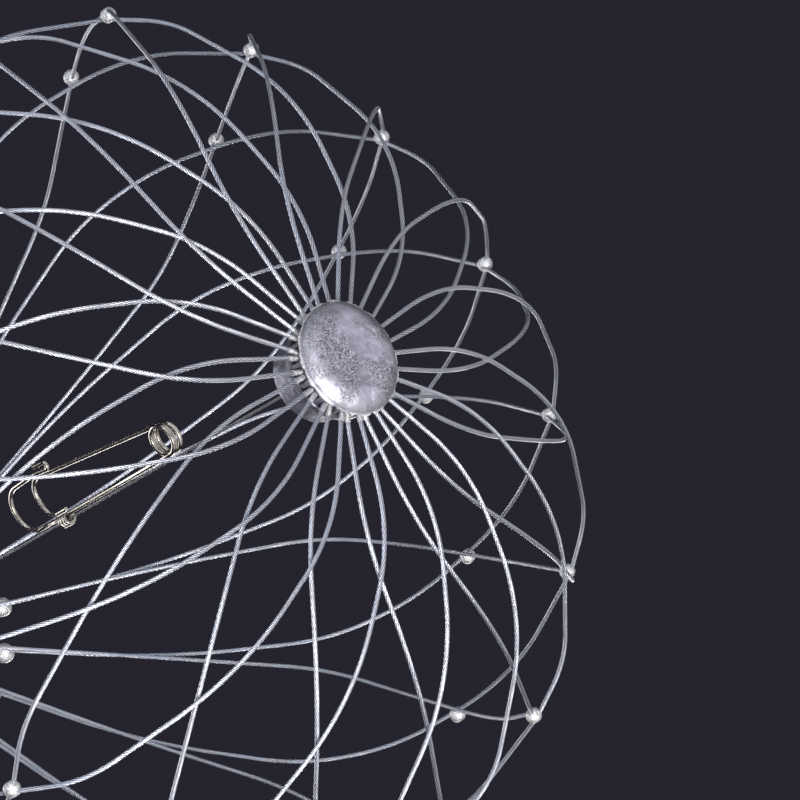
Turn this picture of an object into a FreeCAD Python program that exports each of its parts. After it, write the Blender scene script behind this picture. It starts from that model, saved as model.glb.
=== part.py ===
import FreeCAD, Part
import math
import os

V = FreeCAD.Vector
UP = V(0, 0, 1)

# Folding crab trap, closed, standing on the face of its cast weight. The trap's axis is Z.
# Sixteen rope loops grow from the weight, cross each other and meet in rings of crimp beads.
# Driving sizes, in millimetres.
LOOPS = 16                      # loops, and also crimp beads in each ring
RING_RADIUS = 143.0             # trap axis to the lower ring of beads
ROPE = 1.4                      # wire rope diameter
ROPE_SHIFT = 1.3                # a rope stands this far out of, or inside, the cage's middle surface
BODY_GAP = 0.3                  # clearance between pieces that move against each other

CAP_RADIUS = 18.4               # cast weight: the thin lip round the domed front cap
CAP_FACE = 12.0                 # radius of the cap's flat middle
LIP_WIDTH = 0.8
SHOULDER_HEIGHT = 3.5           # height of the cap's round shoulder, where the lip begins
LIP_TOP = 4.4
CAP_HEIGHT = 6.2
CAP_BEVEL = 2.5                 # the cap's back edge lies this far inside the lip
STEM_RADIUS = 13.5
STEM_TOP = 25.0
STEM_BEVEL = 1.2
NECK_STEP = 1.5                 # the neck at the rope ends is this much larger than the stem
LUG_STEP = 1.3                  # the lugs between the pairs of ropes stand out of the neck
LUG_WIDTH = 1.6
ROPE_RISE = 2.4                 # from the cap's back to the middle of the rope ends
ROPE_END_CLEARANCE = 0.5        # between the rope ends and the neck
ROPE_END_GAP = 0.35             # between the two ropes of a pair, where they leave the weight
COLLAR_RISE = 2.6               # from the middle of the rope ends to the collar
COLLAR_WALL = 3.0
COLLAR_HEIGHT = 2.2
COLLAR_FIT = 0.02               # radial clearance of the collar on the stem

LOWER_BEAD = 5.4                # bead diameters
MIDDLE_BEAD = 5.6
TIP_BEAD = 7.6
BEAD_FLATS = 75                 # degrees from a bead's waist to its pressed flats
BEAD_CLEARANCE = 0.7            # between a bead and the rope that crosses under it

LINE = 0.9                      # centre line's diameter
LINE_SOCKET = 4.0               # depth of the centre line in the stem

CLIP_WIRE = 1.5                 # bait clip
COIL_RADIUS = 5.0               # to the middle of the wire
COIL_HEIGHT = 99.0              # centre of the clip's spring coil above the ground
ARM_SPREAD = 6.0                # the sprung arm widens by this much along its length
CURL_HEIGHT = 160.0             # where the clip's back arm is curled round the centre line
CURL_TURNS = 3
CATCH_HEIGHT = 176.8            # centre of the catch's round end
NOSE_HEIGHT = 167.0             # centre of the sprung arm's round end
LEAF_TOP = 164.0                # the catch's bent-back leaf
LEAF_BOTTOM = 156.5
LEAF_RISE = 0.8
LEAF_WIDTH = 2.6
NOSE_RETURN = 3.0               # the nose ends this far below the centre of its round end

# The rope's route, as (radius, height, bays of turn) in ring radii from the rope end to the loop's
# tip. The route is straight runs between these corners, with tangent arcs in the corners.
LOWER_ROUTE = [(0.372, 0.016, 0.307), (0.697, 0.113, 0.860), (0.951, 0.363, 1.275)]
RING_POINT = (1.0, 0.476, 1.5)
UPPER_ROUTE = [(1.093, 0.783, 1.847), (1.018, 1.098, 2.175), (0.896, 1.286, 2.377),
               (0.618, 1.604, 2.484), (0.293, 1.854, 2.5)]
MIDDLE_RUN = 1                  # the middle bead sits halfway along this run of the upper route

# Worked-out sizes.
BAY = 2 * math.pi / LOOPS
NECK_RADIUS = STEM_RADIUS + NECK_STEP
ROPE_END_RADIUS = NECK_RADIUS + ROPE_END_CLEARANCE
ROPE_LEVEL = CAP_HEIGHT + ROPE_RISE
COLLAR_BOTTOM = ROPE_LEVEL + COLLAR_RISE
END_TURN = (ROPE + ROPE_END_GAP) / 2 / ROPE_END_RADIUS / BAY
END_POINT = (ROPE_END_RADIUS / RING_RADIUS, 0.0, END_TURN)
ROUTE = [END_POINT] + LOWER_ROUTE + [RING_POINT] + UPPER_ROUTE
RING_INDEX = ROUTE.index(RING_POINT)
CORNER_SHARE = 0.47             # part of a run that each corner's arc takes
LINE_TOP = ROPE_LEVEL + RING_RADIUS * UPPER_ROUTE[-1][1]


def route_normal(i):
    """Outward direction (radius, height) of the cage's surface at a corner of the route."""
    before = ROUTE[max(i - 1, 0)]
    after = ROUTE[min(i + 1, len(ROUTE) - 1)]
    dr = after[0] - before[0]
    dz = after[1] - before[1]
    length = math.hypot(dr, dz)
    return dz / length, -dr / length


def route_point(i, side, shift):
    """A corner of the route. side is 1 for a rope that winds one way and -1 for the other."""
    radius, height, bays = ROUTE[i]
    nr, nz = route_normal(i)
    r = RING_RADIUS * radius + shift * nr
    z = ROPE_LEVEL + RING_RADIUS * height + shift * nz
    turn = side * (bays - RING_POINT[2]) * BAY
    return V(r * math.cos(turn), r * math.sin(turn), z)


def rounded_path(points):
    """Straight runs through the points, with an arc tangent to both runs in each corner."""
    edges = []
    start = points[0]
    for a, b, c in zip(points, points[1:], points[2:]):
        back = (a - b).normalize()
        on = (c - b).normalize()
        reach = CORNER_SHARE * min((a - b).Length, (c - b).Length)
        half_turn = (math.pi - back.getAngle(on)) / 2
        radius = reach / math.tan(half_turn)
        inward = (back + on).normalize()
        middle = b + inward * (radius / math.cos(half_turn) - radius)
        edges.append(Part.LineSegment(start, b + back * reach).toShape())
        edges.append(Part.Arc(b + back * reach, middle, b + on * reach).toShape())
        start = b + on * reach
    edges.append(Part.LineSegment(start, points[-1]).toShape())
    return Part.Wire(edges)


def rod(points, diameter):
    """A round wire along a rounded path."""
    path = rounded_path(points)
    circle = Part.makeCircle(diameter / 2, points[0], points[1] - points[0])
    return path.makePipe(Part.Face(Part.Wire([circle])))


def ball(centre, diameter):
    """A crimp bead, with its two small flats sideways, where no rope goes in."""
    sideways = V(-centre.y, centre.x, 0)
    if sideways.Length < ROPE:
        sideways = V(0, 1, 0)
    return Part.makeSphere(diameter / 2, centre, sideways, -BEAD_FLATS, BEAD_FLATS)


def rope_points(first, last, side):
    """A rope's corners. At the weight the two ropes of a pair lie side by side."""
    return [route_point(i, side, side * ROPE_SHIFT if i else 0) for i in range(first, last + 1)]


def bead_centre(rope_middle, i, side, diameter):
    """Centre of a bead that holds the outer rope and stays clear of the one that crosses inside."""
    nr, nz = route_normal(i)
    lift = diameter / 2 + ROPE / 2 + BEAD_CLEARANCE - 2 * ROPE_SHIFT
    turn = math.atan2(rope_middle.y, rope_middle.x)
    return rope_middle + V(nr * math.cos(turn), nr * math.sin(turn), nz) * lift


def ring_centre():
    return route_point(RING_INDEX, 1, 0)


def lower_pair():
    """Two ropes from the weight that meet in a lower bead."""
    legs = [rod(rope_points(0, RING_INDEX, side), ROPE) for side in (1, -1)]
    return ball(ring_centre(), LOWER_BEAD).fuse(legs).removeSplitter()


def upper_rope(side):
    """A rope from a lower bead to the tip of its loop. The outer rope also carries two beads."""
    last = len(ROUTE) - 1
    points = rope_points(RING_INDEX, last, side)
    rope = rod(points, ROPE).cut(ball(ring_centre(), LOWER_BEAD + 2 * BODY_GAP))
    if side < 0:
        return rope
    first = RING_INDEX + MIDDLE_RUN
    halfway = (points[MIDDLE_RUN] + points[MIDDLE_RUN + 1]) * 0.5
    middle = ball(bead_centre(halfway, first, side, MIDDLE_BEAD), MIDDLE_BEAD)
    tip = ball(bead_centre(points[-1], last, side, TIP_BEAD), TIP_BEAD)
    return rope.fuse([middle, tip]).removeSplitter()


def turned(outline):
    """A solid of revolution about the trap's axis from (radius, height) corners."""
    points = [V(r, 0, z) for r, z in outline]
    face = Part.Face(Part.makePolygon(points + points[:1]))
    return face.revolve(V(0, 0, 0), UP, 360)


def front_cap():
    """The domed cap: a flat middle, a round shoulder and a thin lip."""
    flat = V(CAP_FACE, 0, 0)
    shoulder = V(CAP_RADIUS - LIP_WIDTH, 0, SHOULDER_HEIGHT)
    reach = shoulder.x - flat.x
    bend = (reach ** 2 + shoulder.z ** 2) / (2 * shoulder.z)
    half_turn = math.atan2(shoulder.z, reach)
    middle = flat + V(bend * math.sin(half_turn), 0, bend * (1 - math.cos(half_turn)))
    corners = [(CAP_RADIUS, shoulder.z), (CAP_RADIUS, LIP_TOP),
               (CAP_RADIUS - CAP_BEVEL, CAP_HEIGHT), (0, CAP_HEIGHT), (0, 0)]
    points = [shoulder] + [V(r, 0, z) for r, z in corners] + [flat]
    edges = Part.makePolygon(points).Edges + [Part.Arc(flat, middle, shoulder).toShape()]
    return Part.Face(Part.Wire(edges)).revolve(V(0, 0, 0), UP, 360)


def stem():
    """The neck between the rope ends, with a lug between each two pairs, and the stem behind."""
    outline = [(0, CAP_HEIGHT), (NECK_RADIUS, CAP_HEIGHT), (NECK_RADIUS, COLLAR_BOTTOM),
               (STEM_RADIUS, COLLAR_BOTTOM), (STEM_RADIUS, STEM_TOP - STEM_BEVEL),
               (STEM_RADIUS - STEM_BEVEL, STEM_TOP), (LINE / 2, STEM_TOP),
               (LINE / 2, STEM_TOP - LINE_SOCKET), (0, STEM_TOP - LINE_SOCKET)]
    corner = V(STEM_RADIUS, -LUG_WIDTH / 2, CAP_HEIGHT)
    lug = Part.makeBox(NECK_STEP + LUG_STEP, LUG_WIDTH, COLLAR_BOTTOM - CAP_HEIGHT, corner)
    lugs = [at_bay(lug, k) for k in range(LOOPS)]
    return turned(outline).fuse(lugs).removeSplitter()


def rope_collar():
    top = COLLAR_BOTTOM + COLLAR_HEIGHT
    bore = STEM_RADIUS + COLLAR_FIT
    outer = STEM_RADIUS + COLLAR_WALL
    return turned([(bore, COLLAR_BOTTOM), (outer, COLLAR_BOTTOM), (outer, top), (bore, top)])


def centre_line():
    foot = STEM_TOP - LINE_SOCKET
    line = Part.makeCylinder(LINE / 2, LINE_TOP - foot, V(0, 0, foot))
    return line.fuse(ball(V(0, 0, LINE_TOP), LOWER_BEAD)).removeSplitter()


# The bait clip lies in the XZ plane, beside the centre line.
BACK_ARM = LINE / 2 + CLIP_WIRE / 2 + 0.4       # the back arm's distance from the trap axis
COIL_CENTRE = V(BACK_ARM + COIL_RADIUS, 0, COIL_HEIGHT)
FRONT_ARM = BACK_ARM + 2 * COIL_RADIUS
ARM_SIDE = 2 * CLIP_WIRE + BODY_GAP             # the sprung arm lies this far to the side


def clip_ring(side):
    return Part.makeTorus(COIL_RADIUS, CLIP_WIRE / 2, COIL_CENTRE + V(0, side, 0), V(0, 1, 0))


def round_end(near, far, side, height):
    """Corners of a wire that goes up at x = near, turns round and comes down at x = far."""
    half = abs(far - near) / 2
    return [V(near, side, height + half), V(far, side, height + half)]


def bait_clip():
    """Back arm, most of the spring coil, the curl on the centre line, and the catch."""
    front = FRONT_ARM + ARM_SPREAD
    points = [V(BACK_ARM, 0, COIL_HEIGHT)] + round_end(BACK_ARM, front, 0, CATCH_HEIGHT)
    points += [V(front + LEAF_RISE, 0, LEAF_TOP), V(front, 0, LEAF_BOTTOM),
               V(front + LEAF_WIDTH, 0, LEAF_BOTTOM),
               V(front + LEAF_WIDTH + LEAF_RISE / 2, 0, LEAF_TOP - LEAF_RISE)]
    pieces = [clip_ring(0), clip_ring(CLIP_WIRE * 0.98)]
    for turn in range(CURL_TURNS):
        centre = V(0, 0, CURL_HEIGHT + turn * CLIP_WIRE * 0.98)
        pieces.append(Part.makeTorus(BACK_ARM, CLIP_WIRE / 2, centre, UP))
    return rod(points, CLIP_WIRE).fuse(pieces).removeSplitter()


def sprung_arm():
    """The arm that springs open: the coil's last turn, the front arm and its round nose."""
    front = FRONT_ARM + ARM_SPREAD
    tip = BACK_ARM + CLIP_WIRE
    points = [V(FRONT_ARM, ARM_SIDE, COIL_HEIGHT)] + round_end(front, tip, ARM_SIDE, NOSE_HEIGHT)
    points.append(V(tip, ARM_SIDE, NOSE_HEIGHT - NOSE_RETURN))
    return rod(points, CLIP_WIRE).fuse(clip_ring(ARM_SIDE)).removeSplitter()


def at_bay(shape, k):
    copy = shape.copy()
    copy.rotate(V(0, 0, 0), UP, math.degrees(k * BAY))
    return copy


def save(shape, name):
    if not shape.isValid() or len(shape.Solids) != 1:
        raise ValueError(name + " isn't one valid solid")
    shape.exportStep("parts/" + name + ".step")


def main():
    os.makedirs("parts", exist_ok=True)
    save(front_cap(), "front_cap")
    save(stem(), "weight_stem")
    save(rope_collar(), "rope_collar")
    save(centre_line(), "centre_line")
    save(bait_clip(), "bait_clip")
    save(sprung_arm(), "bait_clip_arm")
    pair = lower_pair()
    outer = upper_rope(1)
    inner = upper_rope(-1)
    for k in range(LOOPS):
        save(at_bay(pair, k), "lower_ropes_%02d" % k)
        save(at_bay(outer, k), "upper_rope_out_%02d" % k)
        save(at_bay(inner, k), "upper_rope_in_%02d" % k)


main()
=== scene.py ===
import math
import random

import bmesh
import bpy
from mathutils import Matrix, Vector, noise


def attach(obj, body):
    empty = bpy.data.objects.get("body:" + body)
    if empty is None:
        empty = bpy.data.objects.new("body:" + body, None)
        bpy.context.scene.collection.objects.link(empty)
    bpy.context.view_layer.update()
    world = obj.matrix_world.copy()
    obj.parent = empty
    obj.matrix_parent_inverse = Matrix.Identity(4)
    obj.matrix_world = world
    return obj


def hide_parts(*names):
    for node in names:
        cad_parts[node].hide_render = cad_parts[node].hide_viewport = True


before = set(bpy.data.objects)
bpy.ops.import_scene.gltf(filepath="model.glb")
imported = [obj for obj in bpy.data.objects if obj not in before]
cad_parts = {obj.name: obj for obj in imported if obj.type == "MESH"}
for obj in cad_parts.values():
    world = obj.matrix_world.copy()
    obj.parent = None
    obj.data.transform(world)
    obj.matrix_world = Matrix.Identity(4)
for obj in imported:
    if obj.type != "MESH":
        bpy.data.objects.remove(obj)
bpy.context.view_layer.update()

# Folding crab trap, closed, standing on its cast weight. Sizes are in metres.
MM = 0.001
LOOPS = 16
BAY = 2 * math.pi / LOOPS
RING_RADIUS = 143 * MM
ROPE_LEVEL = 8.6 * MM
ROPE = 1.4 * MM
ROPE_SHIFT = 1.3 * MM
ROPE_LAY = 11 * MM              # length of one turn of the rope's strands
ROPE_STRANDS = 6
LOWER_BEAD = 5.4 * MM
MIDDLE_BEAD = 5.6 * MM
TIP_BEAD = 7.6 * MM
BEAD_CLEARANCE = 0.7 * MM
BODY_GAP = 0.3 * MM
CORNER_SHARE = 0.47             # of the shorter run, taken up by the arc at a corner
ARC_POINTS = 40

CAP_RADIUS = 18.4 * MM
CAP_FACE = 12 * MM
CAP_BACK = 15.9 * MM
CAP_HEIGHT = 6.2 * MM
LIP_WIDTH = 0.8 * MM
SHOULDER_HEIGHT = 3.5 * MM
SHOULDER_STEPS = 7
LIP = [(17.4, 3.95), (18.0, 3.5), (18.3, 3.55), (18.4, 3.75), (18.4, 4.2), (18.2, 4.45)]
LIP_START = 17.5 * MM           # the lip is uneven from here out
LIP_TRIM = 0.15 * MM
NOTCH_DEPTH = 0.42 * MM
RAGGED_DEPTH = 0.4 * MM
RAGGED_SCALE = 13
HIGHLIGHT_FROM = 17.7 * MM           # a highlight is painted on the rim between these radii
HIGHLIGHT_BY = 18.0 * MM
NECK_RADIUS = 15 * MM
LUG_RADIUS = 16.3 * MM
LUG_WIDTH = 1.6 * MM
LUG_BEVEL = 0.45 * MM
ROPE_END_RADIUS = 15.5 * MM
ROPE_END_GAP = 0.35 * MM
SLEEVE = 1.7 * MM               # crimp sleeve on each rope's end
SLEEVE_LENGTH = 3.2 * MM
SLEEVE_OVERHANG = 0.2 * MM      # how far it goes past the end of the rope
STEM_RADIUS = 13.5 * MM
STEM_TOP = 25 * MM
STEM_BEVEL = 1.2 * MM
STEM_CROWN = 2 * MM             # radius of the ring of points round the middle of its top
STEM_EASE = 0.4 * MM
COLLAR_RADIUS = 16.5 * MM
COLLAR_BOTTOM = 11.2 * MM
COLLAR_TOP = 13.4 * MM
COLLAR_SEAM = (12.3 * MM, 12.4 * MM)    # its outline starts and ends at these heights
COLLAR_EASE = 0.5 * MM

# Each cast piece has small swells, which only go inwards from its outline.
CAP_SWELL = 0.12 * MM
STEM_SWELL = 0.10 * MM
SWELL_SCALE = 170
FINE_SWELL_SCALE = 420
SWELL_INSET = 0.75

LINE = 0.9 * MM
LINE_LAY = 8 * MM
LINE_FOOT = STEM_TOP - 2 * MM   # the line starts this high, inside the stem
CLIP_WIRE = 1.5 * MM
COIL_RADIUS = 5.0 * MM
COIL_HEIGHT = 99 * MM
ARM_SPREAD = 6.0 * MM
CURL_HEIGHT = 160 * MM
CATCH_HEIGHT = 176.8 * MM
NOSE_HEIGHT = 167.0 * MM
LEAF_TOP = 164 * MM
LEAF_BOTTOM = 156.5 * MM
LEAF_RISE = 0.8 * MM
LEAF_WIDTH = 2.6 * MM
NOSE_RETURN = 3 * MM
CURL_CLEARANCE = 0.4 * MM
CURL_TURNS = 3
POINTS_PER_TURN = 28
BACK_COIL = (0.5, -2.0)         # where each coil starts, and its length, in turns
ARM_COIL = (0.05, 0.95)
BACK_ARM = LINE / 2 + CLIP_WIRE / 2 + CURL_CLEARANCE
FRONT_ARM = BACK_ARM + 2 * COIL_RADIUS
ARM_SIDE = 2 * CLIP_WIRE + BODY_GAP

# The rope's route from its end in the weight to the loop's tip, as (radius, height, bays of turn)
# in ring radii.
LOWER_ROUTE = [(0.372, 0.016, 0.307), (0.697, 0.113, 0.860), (0.951, 0.363, 1.275)]
RING_POINT = (1.0, 0.476, 1.5)
UPPER_ROUTE = [(1.093, 0.783, 1.847), (1.018, 1.098, 2.175), (0.896, 1.286, 2.377),
               (0.618, 1.604, 2.484), (0.293, 1.854, 2.5)]
END_TURN = (ROPE + ROPE_END_GAP) / 2 / ROPE_END_RADIUS / BAY
END_POINT = (ROPE_END_RADIUS / RING_RADIUS, 0.0, END_TURN)
ROUTE = [END_POINT] + LOWER_ROUTE + [RING_POINT] + UPPER_ROUTE
RING = ROUTE.index(RING_POINT)
TIP = len(ROUTE) - 1
LINE_TOP = ROPE_LEVEL + RING_RADIUS * UPPER_ROUTE[-1][1]


# ---------------------------------------------------------------- node helpers

def add(tree, kind, **settings):
    """A node, with its settings, and its inputs given as a dict under the name inputs."""
    inputs = settings.pop("inputs", {})
    node = tree.nodes.new(kind)
    for name, value in settings.items():
        setattr(node, name, value)
    for name, value in inputs.items():
        socket = node.inputs[name]
        if isinstance(value, bpy.types.NodeSocket):
            tree.links.new(value, socket)
        else:
            socket.default_value = value
    return node


def sums(tree, operation, a, b=0.0, c=0.0):
    """A math node on up to three values or sockets."""
    return add(tree, "ShaderNodeMath", operation=operation,
               inputs={0: a, 1: b, 2: c}).outputs[0]


def blend_colours(tree, factor, low, high):
    node = add(tree, "ShaderNodeMix", data_type="RGBA", inputs={0: factor, 6: low, 7: high})
    return node.outputs[2]


def ramp(tree, value, low, high, out_low=0.0, out_high=1.0):
    node = add(tree, "ShaderNodeMapRange",
               inputs={0: value, 1: low, 2: high, 3: out_low, 4: out_high})
    return node.outputs[0]


def rgba(r, g, b):
    return (r, g, b, 1.0)


# ---------------------------------------------------------------- materials

def new_material(name, metallic):
    """A material with one shader, whose colour, roughness and normal are linked later."""
    material = bpy.data.materials.new(name)
    material.use_nodes = True
    tree = material.node_tree
    tree.nodes.clear()
    shader = add(tree, "ShaderNodeBsdfPrincipled", inputs={"Metallic": metallic})
    output = add(tree, "ShaderNodeOutputMaterial")
    tree.links.new(shader.outputs[0], output.inputs[0])
    return material, tree, shader


def object_noise(tree, scale, detail=4.0, roughness=0.6, stretch=(1, 1, 1)):
    place = add(tree, "ShaderNodeTexCoord").outputs["Object"]
    mapped = add(tree, "ShaderNodeMapping", inputs={"Vector": place, "Scale": stretch})
    return add(tree, "ShaderNodeTexNoise",
               inputs={"Vector": mapped.outputs[0], "Scale": scale, "Detail": detail,
                       "Roughness": roughness}).outputs[0]


def add_bump(tree, shader, height, distance, strength):
    bump = add(tree, "ShaderNodeBump",
               inputs={"Height": height, "Distance": distance, "Strength": strength})
    tree.links.new(bump.outputs[0], shader.inputs["Normal"])


def stranded_steel(name, dull, bright):
    """Galvanised wire rope: fine wires along each strand, with painted shade in the grooves
    between strands and between wires.
    """
    wires_per_strand = 3.0
    wire_twist = 5.0
    groove_shade_grey = rgba(0.05, 0.05, 0.06)
    gap_shade_grey = rgba(0.12, 0.12, 0.14)
    material, tree, shader = new_material(name, 0.95)
    around = add(tree, "ShaderNodeAttribute", attribute_name="UVMap").outputs["Vector"]
    split = add(tree, "ShaderNodeSeparateXYZ", inputs={0: around})
    strand = sums(tree, "MULTIPLY", split.outputs[0], float(ROPE_STRANDS))
    phase = sums(tree, "MULTIPLY", strand, 2 * math.pi)
    crown = ramp(tree, sums(tree, "COSINE", phase), -1.0, 0.2)
    wires = sums(tree, "MULTIPLY", split.outputs[0], ROPE_STRANDS * wires_per_strand)
    lay = sums(tree, "MULTIPLY", split.outputs[1], wire_twist)
    wire_phase = sums(tree, "MULTIPLY", sums(tree, "ADD", wires, lay), 2 * math.pi)
    wire_crown = ramp(tree, sums(tree, "COSINE", wire_phase), -1.0, 0.4)
    patches = ramp(tree, object_noise(tree, scale=60.0), 0.35, 0.68)
    metal = blend_colours(tree, patches, dull, bright)
    # Painted shade: the grooves between strands and the gaps between wires are painted dark.
    groove = blend_colours(tree, crown, groove_shade_grey, metal)
    shade = ramp(tree, wire_crown, 1.0, 0.0, 0.0, 0.45)
    colour = blend_colours(tree, shade, groove, gap_shade_grey)
    tree.links.new(colour, shader.inputs["Base Color"])
    rough = ramp(tree, patches, 0.0, 1.0, 0.46, 0.30)
    tree.links.new(rough, shader.inputs["Roughness"])
    add_bump(tree, shader, wire_crown, distance=0.06 * MM, strength=0.7)
    return material


def pressed_bead():
    """Crimp beads: satin cast zinc with small press marks."""
    dull = rgba(0.58, 0.58, 0.60)
    bright = rgba(0.82, 0.82, 0.84)
    pit_grey = rgba(0.36, 0.36, 0.38)
    material, tree, shader = new_material("pressed_bead", 0.80)
    patches = ramp(tree, object_noise(tree, scale=420.0), 0.3, 0.7)
    pits = ramp(tree, object_noise(tree, scale=1400.0, detail=6.0), 0.42, 0.60)
    colour = blend_colours(tree, patches, dull, bright)
    colour = blend_colours(tree, pits, pit_grey, colour)
    tree.links.new(colour, shader.inputs["Base Color"])
    tree.links.new(ramp(tree, patches, 0.0, 1.0, 0.52, 0.34), shader.inputs["Roughness"])
    add_bump(tree, shader, pits, distance=0.12 * MM, strength=0.8)
    return material


def cast_metal(name, pit, dark, light, painted_rim_highlight):
    """Cast weight: mottled grey metal with pits, scratches and, on the cap, a painted highlight
    round the rim.
    """
    highlight_grey = rgba(0.90, 0.90, 0.93)
    rim_roughness = 0.2
    material, tree, shader = new_material(name, 0.88)
    cloud = object_noise(tree, scale=95.0, detail=8.0, roughness=0.62)
    flow = object_noise(tree, scale=210.0, detail=6.0, roughness=0.7, stretch=(1.0, 0.45, 1.0))
    mottle = ramp(tree, sums(tree, "ADD", sums(tree, "MULTIPLY", cloud, 0.6),
                             sums(tree, "MULTIPLY", flow, 0.4)), 0.40, 0.62)
    areas = object_noise(tree, scale=62.0, detail=3.0)
    smooth_areas = ramp(tree, areas, 0.56, 0.44)
    grains = object_noise(tree, scale=2100.0, detail=6.0, roughness=0.8, stretch=(1.0, 0.55, 1.0))
    specks = ramp(tree, grains, 0.42, 0.55)
    pits = sums(tree, "MAXIMUM", specks, smooth_areas)
    lines = object_noise(tree, scale=260.0, detail=3.0, roughness=0.6, stretch=(1.0, 9.0, 1.0))
    scratches = ramp(tree, lines, 0.60, 0.68)
    colour = blend_colours(tree, mottle, dark, light)
    colour = blend_colours(tree, pits, pit, colour)
    colour = blend_colours(tree, sums(tree, "MULTIPLY", scratches, 0.4), colour, light)
    roughness = ramp(tree, mottle, 0.0, 1.0, 0.50, 0.30)
    # Painted highlight: a bright, glossy band is painted round the cap's rim.
    if painted_rim_highlight:
        place = add(tree, "ShaderNodeTexCoord").outputs["Object"]
        split = add(tree, "ShaderNodeSeparateXYZ", inputs={0: place})
        square = sums(tree, "ADD", sums(tree, "MULTIPLY", split.outputs[0], split.outputs[0]),
                      sums(tree, "MULTIPLY", split.outputs[1], split.outputs[1]))
        radius = sums(tree, "SQRT", square)
        near_rim = ramp(tree, radius, HIGHLIGHT_FROM, HIGHLIGHT_BY)
        highlight_band = sums(tree, "MULTIPLY", near_rim, 0.8)
        colour = blend_colours(tree, highlight_band, colour, highlight_grey)
        roughness = add(tree, "ShaderNodeMix", data_type="FLOAT",
                        inputs={0: highlight_band, 2: roughness, 3: rim_roughness}).outputs[0]
    tree.links.new(colour, shader.inputs["Base Color"])
    tree.links.new(roughness, shader.inputs["Roughness"])
    height = sums(tree, "ADD", sums(tree, "MULTIPLY", pits, 0.35),
                  sums(tree, "SUBTRACT", mottle, sums(tree, "MULTIPLY", scratches, 0.25)))
    add_bump(tree, shader, height, distance=0.22 * MM, strength=0.8)
    return material


def spring_wire():
    """Bait clip: polished nickelled spring wire, a little warm, with faint drawing marks."""
    dull = rgba(0.42, 0.39, 0.35)
    bright = rgba(0.74, 0.70, 0.64)
    material, tree, shader = new_material("spring_wire", 1.0)
    drawn = object_noise(tree, scale=900.0, stretch=(1.0, 1.0, 0.08))
    marks = ramp(tree, drawn, 0.35, 0.65)
    patches = ramp(tree, object_noise(tree, scale=160.0), 0.35, 0.65)
    colour = blend_colours(tree, patches, dull, bright)
    tree.links.new(colour, shader.inputs["Base Color"])
    tree.links.new(ramp(tree, marks, 0.0, 1.0, 0.12, 0.20), shader.inputs["Roughness"])
    add_bump(tree, shader, marks, distance=0.02 * MM, strength=0.5)
    return material


# ---------------------------------------------------------------- geometry trees

def new_tree(name, inputs):
    """A geometry tree with named inputs. inputs holds (name, socket type, default)."""
    tree = bpy.data.node_groups.new(name, "GeometryNodeTree")
    tree.interface.new_socket("Geometry", in_out="INPUT", socket_type="NodeSocketGeometry")
    tree.interface.new_socket("Geometry", in_out="OUTPUT", socket_type="NodeSocketGeometry")
    for label, kind, default in inputs:
        socket = tree.interface.new_socket(label, in_out="INPUT", socket_type=kind)
        if default is not None:
            socket.default_value = default
    entry = tree.nodes.new("NodeGroupInput")
    leave = tree.nodes.new("NodeGroupOutput")
    return tree, entry, leave


def finish_tree(tree, entry, leave, geometry):
    """Realize Instances, smooth shading and Set Material end every tree."""
    real = add(tree, "GeometryNodeRealizeInstances", inputs={"Geometry": geometry})
    shaded = add(tree, "GeometryNodeSetShadeSmooth",
                 inputs={"Geometry": real.outputs[0], "Shade Smooth": True})
    painted = add(tree, "GeometryNodeSetMaterial",
                  inputs={"Geometry": shaded.outputs[0], "Material": entry.outputs["Material"]})
    tree.links.new(painted.outputs[0], leave.inputs[0])


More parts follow.
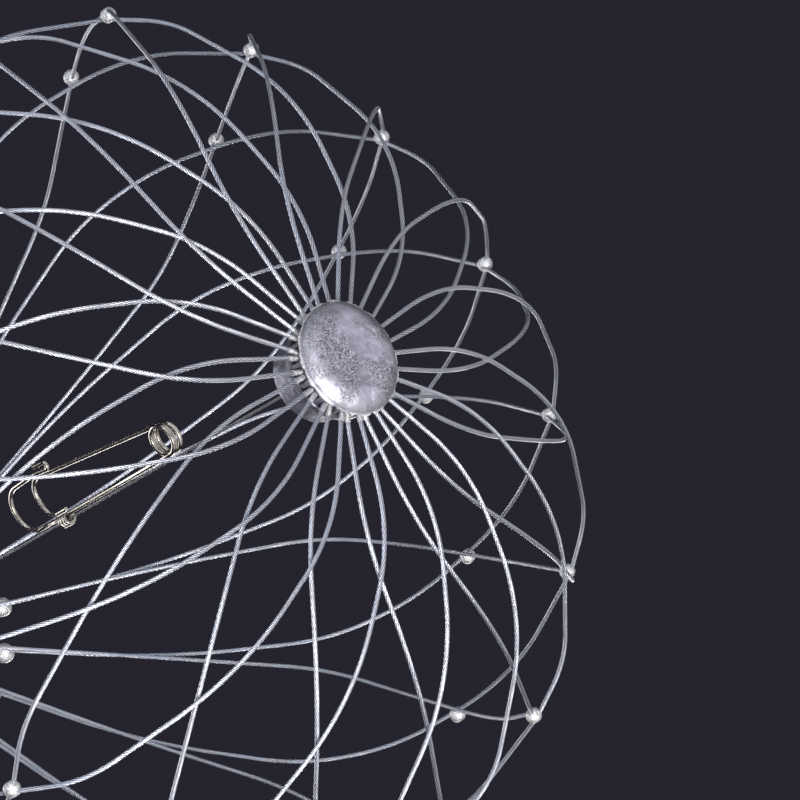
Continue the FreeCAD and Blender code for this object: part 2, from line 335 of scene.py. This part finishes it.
def rope_tree():
    """Sweeps a lobed section, which turns with the rope's lay, along each route."""
    tree, entry, leave = new_tree("wire_rope", [
        ("Diameter", "NodeSocketFloat", ROPE), ("Lay", "NodeSocketFloat", ROPE_LAY),
        ("Step", "NodeSocketFloat", 1.0 * MM), ("Strands", "NodeSocketInt", ROPE_STRANDS),
        ("Groove", "NodeSocketFloat", 0.16), ("Start turn", "NodeSocketFloat", 0.0),
        ("Points per strand", "NodeSocketInt", 4), ("Material", "NodeSocketMaterial", None)])
    even = add(tree, "GeometryNodeResampleCurve", mode="LENGTH",
               inputs={"Curve": entry.outputs["Geometry"], "Length": entry.outputs["Step"]})
    along = add(tree, "GeometryNodeSplineParameter").outputs["Length"]
    turns = sums(tree, "DIVIDE", along, entry.outputs["Lay"])
    tilt = sums(tree, "MULTIPLY_ADD", turns, 2 * math.pi, entry.outputs["Start turn"])
    route = add(tree, "GeometryNodeSetCurveTilt",
                inputs={"Curve": even.outputs[0], "Tilt": tilt})
    keep_turns = add(tree, "GeometryNodeCaptureAttribute", domain="POINT")
    keep_turns.capture_items.new("FLOAT", "Turns")
    tree.links.new(route.outputs[0], keep_turns.inputs["Geometry"])
    tree.links.new(turns, keep_turns.inputs["Turns"])

    count = sums(tree, "MULTIPLY", entry.outputs["Strands"], entry.outputs["Points per strand"])
    half = sums(tree, "MULTIPLY", entry.outputs["Diameter"], 0.5)
    circle = add(tree, "GeometryNodeCurvePrimitiveCircle", inputs={"Resolution": count,
                                                                   "Radius": half})
    around = add(tree, "GeometryNodeSplineParameter").outputs["Factor"]
    phase = sums(tree, "MULTIPLY", sums(tree, "MULTIPLY", around, entry.outputs["Strands"]),
                 2 * math.pi)
    dip = sums(tree, "MULTIPLY", sums(tree, "SUBTRACT", 1.0, sums(tree, "COSINE", phase)), 0.5)
    size = sums(tree, "SUBTRACT", 1.0, sums(tree, "MULTIPLY", dip, entry.outputs["Groove"]))
    here = add(tree, "GeometryNodeInputPosition").outputs[0]
    lobed = add(tree, "ShaderNodeVectorMath", operation="SCALE", inputs={0: here, "Scale": size})
    keep_around = add(tree, "GeometryNodeCaptureAttribute", domain="POINT")
    keep_around.capture_items.new("FLOAT", "Around")
    tree.links.new(circle.outputs[0], keep_around.inputs["Geometry"])
    tree.links.new(around, keep_around.inputs["Around"])
    section = add(tree, "GeometryNodeSetPosition",
                  inputs={"Geometry": keep_around.outputs["Geometry"],
                          "Position": lobed.outputs[0]})
    swept = add(tree, "GeometryNodeCurveToMesh",
                inputs={"Curve": keep_turns.outputs["Geometry"],
                        "Profile Curve": section.outputs[0], "Fill Caps": True})

    # The face that closes the section has corners near 1 and at 0. The ones at 0 count as 1.
    half_round = 0.3
    raw = keep_around.outputs["Around"]
    middle = add(tree, "GeometryNodeFieldOnDomain", data_type="FLOAT", domain="FACE",
                 inputs={0: raw}).outputs[0]
    behind = sums(tree, "LESS_THAN", raw, sums(tree, "SUBTRACT", middle, half_round))
    unrolled = sums(tree, "ADD", raw, behind)
    layout = add(tree, "ShaderNodeCombineXYZ",
                 inputs={0: unrolled, 1: keep_turns.outputs["Turns"]})
    mapped = add(tree, "GeometryNodeStoreNamedAttribute", data_type="FLOAT2", domain="CORNER",
                 inputs={"Geometry": swept.outputs[0], "Name": "UVMap",
                         "Value": layout.outputs[0]})
    finish_tree(tree, entry, leave, mapped.outputs[0])
    return tree


def wire_tree():
    """Sweeps a round section along each route."""
    tree, entry, leave = new_tree("round_wire", [
        ("Diameter", "NodeSocketFloat", CLIP_WIRE), ("Sides", "NodeSocketInt", 16),
        ("Material", "NodeSocketMaterial", None)])
    half = sums(tree, "MULTIPLY", entry.outputs["Diameter"], 0.5)
    circle = add(tree, "GeometryNodeCurvePrimitiveCircle",
                 inputs={"Resolution": entry.outputs["Sides"], "Radius": half})
    swept = add(tree, "GeometryNodeCurveToMesh",
                inputs={"Curve": entry.outputs["Geometry"], "Profile Curve": circle.outputs[0],
                        "Fill Caps": True})
    finish_tree(tree, entry, leave, swept.outputs[0])
    return tree


def bead_tree():
    """Puts a slightly lumpy pressed bead on each point, along the rope that it is pressed on."""
    tree, entry, leave = new_tree("crimp_bead", [
        ("Diameter", "NodeSocketFloat", LOWER_BEAD), ("Stretch", "NodeSocketFloat", 1.04),
        ("Lumps", "NodeSocketFloat", 0.05), ("Seed", "NodeSocketFloat", 0.0),
        ("Rope direction", "NodeSocketVector", (0.0, 0.0, 1.0)),
        ("Material", "NodeSocketMaterial", None)])
    pressed_flat = 0.44         # half the width between the press's flats, in diameters
    ball = add(tree, "GeometryNodeMeshUVSphere",
               inputs={"Segments": 32, "Rings": 20, "Radius": 0.5})
    here = add(tree, "GeometryNodeInputPosition").outputs[0]
    split = add(tree, "ShaderNodeSeparateXYZ", inputs={0: here})
    side = sums(tree, "MINIMUM", sums(tree, "MAXIMUM", split.outputs[0], -pressed_flat),
                pressed_flat)
    tall = sums(tree, "MULTIPLY", split.outputs[2], entry.outputs["Stretch"])
    shaped = add(tree, "ShaderNodeCombineXYZ", inputs={0: side, 1: split.outputs[1], 2: tall})
    lump = add(tree, "ShaderNodeTexNoise", noise_dimensions="4D",
               inputs={"Vector": here, "W": entry.outputs["Seed"], "Scale": 3.2, "Detail": 2.0})
    shrink = sums(tree, "SUBTRACT", 1.0, sums(tree, "MULTIPLY", lump.outputs[0],
                                              entry.outputs["Lumps"]))
    moved = add(tree, "ShaderNodeVectorMath", operation="SCALE",
                inputs={0: shaped.outputs[0], "Scale": shrink})
    bead = add(tree, "GeometryNodeSetPosition",
               inputs={"Geometry": ball.outputs[0], "Position": moved.outputs[0]})
    turn = add(tree, "FunctionNodeAlignRotationToVector", axis="Z",
               inputs={"Vector": entry.outputs["Rope direction"]})
    set_out = add(tree, "GeometryNodeInstanceOnPoints",
                  inputs={"Points": entry.outputs["Geometry"], "Instance": bead.outputs[0],
                          "Rotation": turn.outputs[0], "Scale": entry.outputs["Diameter"]})
    finish_tree(tree, entry, leave, set_out.outputs[0])
    return tree


def grown(obj, tree, name, **values):
    """The plain mesh that a geometry tree makes from an object, as a new piece."""
    modifier = obj.modifiers.new(tree.name, "NODES")
    modifier.node_group = tree
    for item in tree.interface.items_tree:
        label = item.name.replace(" ", "_").lower()
        if item.item_type == "SOCKET" and item.in_out == "INPUT" and label in values:
            modifier[item.identifier] = values[label]
    bpy.context.collection.objects.link(obj)
    depsgraph = bpy.context.evaluated_depsgraph_get()
    mesh = bpy.data.meshes.new_from_object(obj.evaluated_get(depsgraph))
    obj.modifiers.remove(modifier)
    bpy.data.objects.remove(obj)
    mesh.name = name
    piece = bpy.data.objects.new(name, mesh)
    bpy.context.collection.objects.link(piece)
    return piece


def routes_object(routes):
    """A curve object with one straight-sided spline for each list of points."""
    curve = bpy.data.curves.new("routes", "CURVE")
    curve.dimensions = "3D"
    for route in routes:
        spline = curve.splines.new("POLY")
        spline.points.add(len(route) - 1)
        for point, place in zip(spline.points, route):
            point.co = (*place, 1.0)
    return bpy.data.objects.new("routes", curve)


def points_object(places):
    mesh = bpy.data.meshes.new("places")
    mesh.from_pydata([tuple(p) for p in places], [], [])
    return bpy.data.objects.new("places", mesh)


# ---------------------------------------------------------------- routes

def route_normal(i):
    before = ROUTE[max(i - 1, 0)]
    after = ROUTE[min(i + 1, TIP)]
    across = Vector((after[1] - before[1], before[0] - after[0]))
    return across.normalized()


def route_point(i, side, shift):
    radius, height, bays = ROUTE[i]
    normal = route_normal(i)
    r = RING_RADIUS * radius + shift * normal.x
    z = ROPE_LEVEL + RING_RADIUS * height + shift * normal.y
    turn = side * (bays - RING_POINT[2]) * BAY
    return Vector((r * math.cos(turn), r * math.sin(turn), z))


def rope_corners(first, last, side):
    return [route_point(i, side, side * ROPE_SHIFT if i else 0) for i in range(first, last + 1)]


def rounded(corners):
    """Points along straight runs with an arc tangent to both runs in each corner."""
    points = [corners[0]]
    for a, b, c in zip(corners, corners[1:], corners[2:]):
        back = (a - b).normalized()
        on = (c - b).normalized()
        reach = CORNER_SHARE * min((a - b).length, (c - b).length)
        half_turn = (math.pi - back.angle(on)) / 2
        radius = reach / math.tan(half_turn)
        centre = b + (back + on).normalized() * radius / math.cos(half_turn)
        start = b + back * reach - centre
        axis = start.cross(b + on * reach - centre).normalized()
        for n in range(ARC_POINTS + 1):
            swing = Matrix.Rotation(2 * half_turn * n / ARC_POINTS, 3, axis)
            points.append(centre + swing @ start)
    points.append(corners[-1])
    return points


def trimmed(points, centre, radius):
    """The route with its start cut back to a ball's surface."""
    kept = [p for p in points if (p - centre).length > radius]
    way = (kept[0] - points[0]).normalized()
    start = points[0] + way * math.sqrt(max(radius ** 2 - (points[0] - centre).length ** 2, 0))
    return [start] + kept


def bead_centre(rope_middle, i, diameter):
    normal = route_normal(i)
    lift = diameter / 2 + ROPE / 2 + BEAD_CLEARANCE - 2 * ROPE_SHIFT
    turn = math.atan2(rope_middle.y, rope_middle.x)
    out = Vector((normal.x * math.cos(turn), normal.x * math.sin(turn), normal.y))
    return rope_middle + out * lift


def turned_to(points, k):
    swing = Matrix.Rotation(k * BAY, 3, "Z")
    return [swing @ p for p in points]


# ---------------------------------------------------------------- turned pieces

def turned_mesh(name, outline, sides=160, wobble=0.0, seed=0, trim=None):
    """A solid of revolution from (radius, height) points, with a cast surface's small swells.

    trim gives a radius in place of r at a turn about the axis, for an uneven edge."""
    mesh = bpy.data.meshes.new(name)
    shape = bmesh.new()
    rings = []
    for r, z in outline:
        if r == 0:
            rings.append([shape.verts.new((0, 0, z))])
            continue
        ring = []
        for n in range(sides):
            turn = 2 * math.pi * n / sides
            out = trim(r, turn) if trim else r
            ring.append(shape.verts.new((out * math.cos(turn), out * math.sin(turn), z)))
        rings.append(ring)
    for low, high in zip(rings, rings[1:]):
        for n in range(sides):
            m = (n + 1) % sides
            if len(low) == 1:
                shape.faces.new((low[0], high[n], high[m]))
            elif len(high) == 1:
                shape.faces.new((low[n], high[0], low[m]))
            else:
                shape.faces.new((low[n], high[n], high[m], low[m]))
    if len(rings[0]) > 1:
        for n in range(sides):
            m = (n + 1) % sides
            shape.faces.new((rings[-1][n], rings[0][n], rings[0][m], rings[-1][m]))
    shape.normal_update()
    bmesh.ops.recalc_face_normals(shape, faces=shape.faces)
    if wobble:
        shift = Vector((seed, seed, seed))
        for vert in shape.verts:
            broad = noise.noise(vert.co * SWELL_SCALE + shift)
            fine = noise.noise(vert.co * FINE_SWELL_SCALE + shift)
            vert.co -= vert.normal * wobble * (SWELL_INSET + (broad + 0.5 * fine))
    shape.to_mesh(mesh)
    shape.free()
    mesh.shade_smooth()
    piece = bpy.data.objects.new(name, mesh)
    bpy.context.collection.objects.link(piece)
    return piece


def eased(corners, ease, steps=4):
    """An outline with each inner corner replaced by a short curve of points."""
    out = [corners[0]]
    for a, b, c in zip(corners, corners[1:], corners[2:]):
        a, b, c = Vector(a), Vector(b), Vector(c)
        cut = min(ease, 0.45 * (a - b).length, 0.45 * (c - b).length)
        start = b + (a - b).normalized() * cut
        end = b + (c - b).normalized() * cut
        for n in range(steps + 1):
            t = n / steps
            point = start.lerp(b, t).lerp(b.lerp(end, t), t)
            out.append((point.x, point.y))
    out.append(corners[-1])
    return out


def fine_run(a, b, count):
    """Points from a to b, without b."""
    return [tuple(Vector(a).lerp(Vector(b), n / count)) for n in range(count)]


def shoulder_arc():
    """The cap's round shoulder, an arc that leaves the flat middle smoothly."""
    across = CAP_RADIUS - LIP_WIDTH - CAP_FACE
    radius = (across ** 2 + SHOULDER_HEIGHT ** 2) / (2 * SHOULDER_HEIGHT)
    whole = math.asin(across / radius)
    turns = [whole * n / SHOULDER_STEPS for n in range(SHOULDER_STEPS + 1)]
    return [(CAP_FACE + radius * math.sin(t), radius * (1 - math.cos(t))) for t in turns]


def uneven_lip(r, turn):
    """The cap's thin lip is ragged, with a shallow notch over each pair of rope ends."""
    lip = max(0.0, r - LIP_START) / (CAP_RADIUS - LIP_START)
    notch = 0.5 + 0.5 * math.cos(LOOPS * (turn - BAY / 2))
    ragged = noise.noise(Vector((math.cos(turn), math.sin(turn), 0.3)) * RAGGED_SCALE)
    return r - lip * (LIP_TRIM + NOTCH_DEPTH * notch ** 3 + RAGGED_DEPTH * ragged)


def front_cap(metal):
    """The weight's front: a flat middle, a round shoulder and a thin ragged lip."""
    face = fine_run((0, 0), (CAP_FACE, 0), 26)
    lip = [(r * MM, z * MM) for r, z in LIP]
    outline = face + shoulder_arc() + lip + [(CAP_BACK, CAP_HEIGHT), (0, CAP_HEIGHT)]
    piece = turned_mesh("front_cap", outline, sides=320, wobble=CAP_SWELL, seed=3,
                        trim=uneven_lip)
    piece.data.materials.append(metal)
    return piece


def weight_stem(metal):
    """The weight's neck, and its stem with a bevelled end."""
    bevel_start = (STEM_RADIUS, STEM_TOP - STEM_BEVEL)
    neck = fine_run((NECK_RADIUS, CAP_HEIGHT), (NECK_RADIUS, COLLAR_BOTTOM), 6)
    side = fine_run((STEM_RADIUS, COLLAR_BOTTOM), bevel_start, 18)
    end = eased([bevel_start, (STEM_RADIUS - STEM_BEVEL, STEM_TOP), (STEM_CROWN, STEM_TOP),
                 (0, STEM_TOP)], STEM_EASE)
    outline = [(0, CAP_HEIGHT)] + neck + [(NECK_RADIUS, COLLAR_BOTTOM)] + side + end
    piece = turned_mesh("weight_stem", outline, wobble=STEM_SWELL, seed=8)
    piece.data.materials.append(metal)
    return piece


def cast_lugs(metal):
    """Sixteen rough lugs round the neck, one between each two pairs of ropes."""
    mesh = bpy.data.meshes.new("cast_lugs")
    shape = bmesh.new()
    tall = COLLAR_BOTTOM - CAP_HEIGHT
    depth = LUG_RADIUS - STEM_RADIUS
    for k in range(LOOPS):
        made = bmesh.ops.create_cube(shape, size=1.0)["verts"]
        edges = list({edge for vert in made for edge in vert.link_edges})
        bmesh.ops.scale(shape, vec=(depth, LUG_WIDTH, tall), verts=made)
        centre = Vector((STEM_RADIUS + depth / 2, 0, CAP_HEIGHT + tall / 2))
        bmesh.ops.translate(shape, vec=centre, verts=made)
        swing = Matrix.Rotation(k * BAY, 3, "Z")
        bmesh.ops.rotate(shape, cent=(0, 0, 0), matrix=swing, verts=made)
        bmesh.ops.bevel(shape, geom=edges, offset=LUG_BEVEL, segments=4, profile=0.5,
                        affect="EDGES")
    shape.to_mesh(mesh)
    shape.free()
    mesh.shade_smooth()
    mesh.materials.append(metal)
    piece = bpy.data.objects.new("cast_lugs", mesh)
    bpy.context.collection.objects.link(piece)
    return piece


def rope_collar(metal):
    """The ring that closes the groove over the rope ends."""
    corners = [(STEM_RADIUS, COLLAR_SEAM[0]), (STEM_RADIUS, COLLAR_BOTTOM),
               (COLLAR_RADIUS, COLLAR_BOTTOM), (COLLAR_RADIUS, COLLAR_TOP),
               (STEM_RADIUS, COLLAR_TOP), (STEM_RADIUS, COLLAR_SEAM[1])]
    piece = turned_mesh("rope_collar", eased(corners, COLLAR_EASE), sides=128)
    piece.data.materials.append(metal)
    return piece


# ---------------------------------------------------------------- the bait clip

def coil_points(centre, start_side, end_side, start_turn, turns):
    """A helix about Y. A turn of 0 is at +X of the centre, and a quarter turn is at +Z."""
    points = []
    count = int(POINTS_PER_TURN * abs(turns))
    for n in range(count + 1):
        t = n / count
        turn = 2 * math.pi * (start_turn + turns * t)
        side = start_side + (end_side - start_side) * t
        points.append(centre + Vector((COIL_RADIUS * math.cos(turn), side,
                                       COIL_RADIUS * math.sin(turn))))
    return points


def curl_points():
    """A helix round the centre line, which starts and ends in the clip's plane."""
    points = []
    count = POINTS_PER_TURN * CURL_TURNS
    rise = CURL_TURNS * CLIP_WIRE
    for n in range(count + 1):
        turn = 2 * math.pi * CURL_TURNS * n / count
        points.append(Vector((BACK_ARM * math.cos(turn), BACK_ARM * math.sin(turn),
                              CURL_HEIGHT + rise * n / count)))
    return points


def round_end(near, far, side, height):
    """Two corners whose arcs make the round end between two arms."""
    half = abs(far - near) / 2
    return [Vector((near, side, height + half)), Vector((far, side, height + half))]


def bait_clip(tree, metal):
    """Two turns of the coil, the back arm, the curl, the round end and the bent-back leaf."""
    centre = Vector((BACK_ARM + COIL_RADIUS, 0, COIL_HEIGHT))
    coil = coil_points(centre, CLIP_WIRE, 0.0, *BACK_COIL)
    front = FRONT_ARM + ARM_SPREAD
    curl = curl_points()
    corners = [curl[-1]] + round_end(BACK_ARM, front, 0, CATCH_HEIGHT)
    corners += [Vector((front + LEAF_RISE, 0, LEAF_TOP)), Vector((front, 0, LEAF_BOTTOM)),
                Vector((front + LEAF_WIDTH, 0, LEAF_BOTTOM)),
                Vector((front + LEAF_WIDTH + LEAF_RISE / 2, 0, LEAF_TOP - LEAF_RISE))]
    route = coil + curl + rounded(corners)[1:]
    return grown(routes_object([route]), tree, "bait_clip", material=metal, diameter=CLIP_WIRE)


def bait_clip_arm(tree, metal):
    """The coil's last turn, the sprung front arm and its round nose."""
    centre = Vector((BACK_ARM + COIL_RADIUS, 0, COIL_HEIGHT))
    coil = coil_points(centre, ARM_SIDE, ARM_SIDE, *ARM_COIL)
    front = FRONT_ARM + ARM_SPREAD
    tip = BACK_ARM + CLIP_WIRE
    corners = [coil[-1]] + round_end(front, tip, ARM_SIDE, NOSE_HEIGHT)
    corners.append(Vector((tip, ARM_SIDE, NOSE_HEIGHT - NOSE_RETURN)))
    route = coil + rounded(corners)[1:]
    return grown(routes_object([route]), tree, "bait_clip_arm", material=metal,
                 diameter=CLIP_WIRE)


# ---------------------------------------------------------------- ropes and beads

def settle(piece, body, node=None):
    """Puts a piece on its body, in place of its CAD node where it has one."""
    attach(piece, body)
    if node:
        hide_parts(node)


def build_ropes(rope, wire, bead, steel, zinc):
    """Every bay has a pair of lower ropes and two upper ropes, with their beads."""
    most_turn = 6.0
    most_seed = 50
    rng = random.Random(16)
    ring_centre = route_point(RING, 1, 0)
    lower = [rounded(rope_corners(0, RING, side)) for side in (1, -1)]
    outer_corners = rope_corners(RING, TIP, 1)
    clear = LOWER_BEAD / 2 + BODY_GAP
    outer = trimmed(rounded(outer_corners), ring_centre, clear)
    inner = trimmed(rounded(rope_corners(RING, TIP, -1)), ring_centre, clear)
    halfway = (outer_corners[1] + outer_corners[2]) / 2
    middle = bead_centre(halfway, RING + 1, MIDDLE_BEAD)
    tip = bead_centre(outer_corners[-1], TIP, TIP_BEAD)
    middle_way = (outer_corners[2] - outer_corners[1]).normalized()
    tip_way = (outer_corners[-1] - outer_corners[-2]).normalized()
    sleeves = []
    for route in lower:
        way = (route[1] - route[0]).normalized()
        start = route[0] - way * SLEEVE_OVERHANG
        sleeves.append([start, start + way * SLEEVE_LENGTH])
    for k in range(LOOPS):
        tag = "_%02d" % k
        ends = grown(routes_object([turned_to(s, k) for s in sleeves]), wire,
                     "crimp_sleeves" + tag, material=zinc, diameter=SLEEVE)
        settle(ends, "lower" + tag)
        sets = [("lower", [turned_to(r, k) for r in lower], "lower_ropes"),
                ("upper_out", [turned_to(outer, k)], "upper_rope_out"),
                ("upper_in", [turned_to(inner, k)], "upper_rope_in")]
        for body, routes, node in sets:
            piece = grown(routes_object(routes), rope, node.replace("rope", "steel_rope") + tag,
                          material=steel, start_turn=rng.uniform(0, most_turn))
            settle(piece, body + tag, node + tag)
        beads = [("lower", "ring_bead", ring_centre, LOWER_BEAD, Vector((0, 0, 1))),
                 ("upper_out", "middle_bead", middle, MIDDLE_BEAD, middle_way),
                 ("upper_out", "tip_bead", tip, TIP_BEAD, tip_way)]
        for body, label, place, size, way in beads:
            spot, toward = turned_to([place, way], k)
            piece = grown(points_object([spot]), bead, label + tag, material=zinc,
                          diameter=size, seed=rng.uniform(0, most_seed),
                          rope_direction=tuple(toward))
            settle(piece, body + tag)


# ---------------------------------------------------------------- studio

def studio_floor():
    """A pale floor that is seen from above. It is clear from below, and lamps shine through it."""
    mesh = bpy.data.meshes.new("floor")
    reach = 3.0
    corners = [(-reach, -reach, 0), (reach, -reach, 0), (reach, reach, 0), (-reach, reach, 0)]
    mesh.from_pydata(corners, [], [(0, 1, 2, 3)])
    floor = bpy.data.objects.new("floor", mesh)
    bpy.context.collection.objects.link(floor)
    material = bpy.data.materials.new("pale_floor")
    material.use_nodes = True
    tree = material.node_tree
    tree.nodes.clear()
    paint = add(tree, "ShaderNodeBsdfDiffuse", inputs={"Color": rgba(0.80, 0.80, 0.79)})
    clear = add(tree, "ShaderNodeBsdfTransparent")
    rays = add(tree, "ShaderNodeLightPath")
    below = add(tree, "ShaderNodeNewGeometry").outputs["Backfacing"]
    see_through = sums(tree, "MAXIMUM", below, rays.outputs["Is Shadow Ray"])
    mixed = add(tree, "ShaderNodeMixShader",
                inputs={0: see_through, 1: paint.outputs[0], 2: clear.outputs[0]})
    output = add(tree, "ShaderNodeOutputMaterial")
    tree.links.new(mixed.outputs[0], output.inputs[0])
    mesh.materials.append(material)


def soft_lamp(name, place, target, size, watts, colour=(1.0, 0.98, 0.95)):
    light = bpy.data.lights.new(name, "AREA")
    light.shape = "DISK"
    light.size = size
    light.energy = watts
    light.color = colour
    lamp = bpy.data.objects.new(name, light)
    lamp.location = place
    lamp.rotation_euler = (Vector(target) - Vector(place)).to_track_quat("-Z", "Y").to_euler()
    bpy.context.collection.objects.link(lamp)


def studio_world():
    """Soft grey light all round, and a charcoal backdrop behind the trap and in reflections."""
    world = bpy.data.worlds.new("studio")
    bpy.context.scene.world = world
    world.use_nodes = True
    tree = world.node_tree
    tree.nodes.clear()
    backdrop = add(tree, "ShaderNodeBackground",
                   inputs={"Color": rgba(0.0190, 0.0178, 0.0270), "Strength": 1.0})
    ambient = add(tree, "ShaderNodeBackground",
                  inputs={"Color": rgba(0.34, 0.35, 0.38), "Strength": 1.0})
    rays = add(tree, "ShaderNodeLightPath").outputs
    seen = sums(tree, "MAXIMUM", rays["Is Camera Ray"],
                sums(tree, "MAXIMUM", rays["Is Glossy Ray"], rays["Is Transmission Ray"]))
    mixed = add(tree, "ShaderNodeMixShader",
                inputs={0: seen, 1: ambient.outputs[0], 2: backdrop.outputs[0]})
    output = add(tree, "ShaderNodeOutputWorld")
    tree.links.new(mixed.outputs[0], output.inputs[0])


def studio_camera():
    """The camera looks up at the weight from below and in front, and is rolled to one side."""
    right = Vector((-0.5183, 0.6117, -0.5977)).normalized()
    down = Vector((-0.8543, -0.4029, 0.3285)).normalized()
    ahead = right.cross(down).normalized()
    down = ahead.cross(right)
    place = Vector((0.0223, -0.6932, -0.7502))
    data = bpy.data.cameras.new("camera")
    data.sensor_width = 36.0
    data.lens = 155.55
    data.clip_end = 20.0
    camera = bpy.data.objects.new("camera", data)
    turn = Matrix((right, -down, -ahead)).transposed().to_4x4()
    camera.matrix_world = Matrix.Translation(place) @ turn
    bpy.context.collection.objects.link(camera)
    bpy.context.scene.camera = camera
    return place, right, -down, ahead


def studio_lamps(place, right, up, ahead):
    """A key lamp and a bluish fill near the camera, and two soft lamps above the trap."""
    middle = Vector((0, 0, 0.11))
    key = place - ahead * 0.05 - up * 0.45 + right * 0.25
    fill = place - right + up * 0.6
    top = Vector((0.6, -0.5, 2.2))
    back = Vector((-1.3, 1.3, 2.0))
    soft_lamp("key", key, middle, size=0.6, watts=33)
    soft_lamp("fill", fill, middle, size=0.9, watts=16, colour=(0.80, 0.89, 1.0))
    soft_lamp("top", top, middle, size=1.4, watts=20)
    soft_lamp("back", back, middle, size=1.2, watts=20)


# ---------------------------------------------------------------- the trap

def build_trap():
    steel = stranded_steel("stranded_steel", dull=rgba(0.60, 0.63, 0.75),
                           bright=rgba(0.87, 0.89, 1.0))
    dull_steel = stranded_steel("dull_stranded_steel", dull=rgba(0.26, 0.26, 0.29),
                                bright=rgba(0.55, 0.55, 0.58))
    zinc = pressed_bead()
    nickel = spring_wire()
    cap_metal = cast_metal("cast_cap_metal", pit=rgba(0.13, 0.13, 0.15),
                           dark=rgba(0.38, 0.37, 0.43), light=rgba(0.58, 0.57, 0.65),
                           painted_rim_highlight=True)
    # Painted shade: the stem, lugs and collar get a darker copy of the cap's metal.
    stem_shade_metal = cast_metal("cast_stem_metal", pit=rgba(0.03, 0.03, 0.04),
                            dark=rgba(0.10, 0.10, 0.13), light=rgba(0.36, 0.36, 0.44),
                            painted_rim_highlight=False)
    rope = rope_tree()
    wire = wire_tree()
    bead = bead_tree()
    settle(front_cap(cap_metal), "weight", "front_cap")
    settle(weight_stem(stem_shade_metal), "weight", "weight_stem")
    settle(cast_lugs(stem_shade_metal), "weight")
    settle(rope_collar(stem_shade_metal), "weight", "rope_collar")
    line_ends = [Vector((0, 0, LINE_FOOT)), Vector((0, 0, LINE_TOP))]
    line = grown(routes_object([line_ends]), rope, "centre_line", material=dull_steel,
                 diameter=LINE, lay=LINE_LAY)
    settle(line, "weight", "centre_line")
    stop = grown(points_object([Vector((0, 0, LINE_TOP))]), bead, "line_stop", material=zinc,
                 diameter=LOWER_BEAD, seed=4.0)
    settle(stop, "weight")
    settle(bait_clip(wire, nickel), "bait_clip", "bait_clip")
    settle(bait_clip_arm(wire, nickel), "bait_clip_arm", "bait_clip_arm")
    build_ropes(rope, wire, bead, steel, zinc)


build_trap()
studio_floor()
studio_world()
studio_lamps(*studio_camera())
bpy.context.scene.view_settings.view_transform = "Standard"
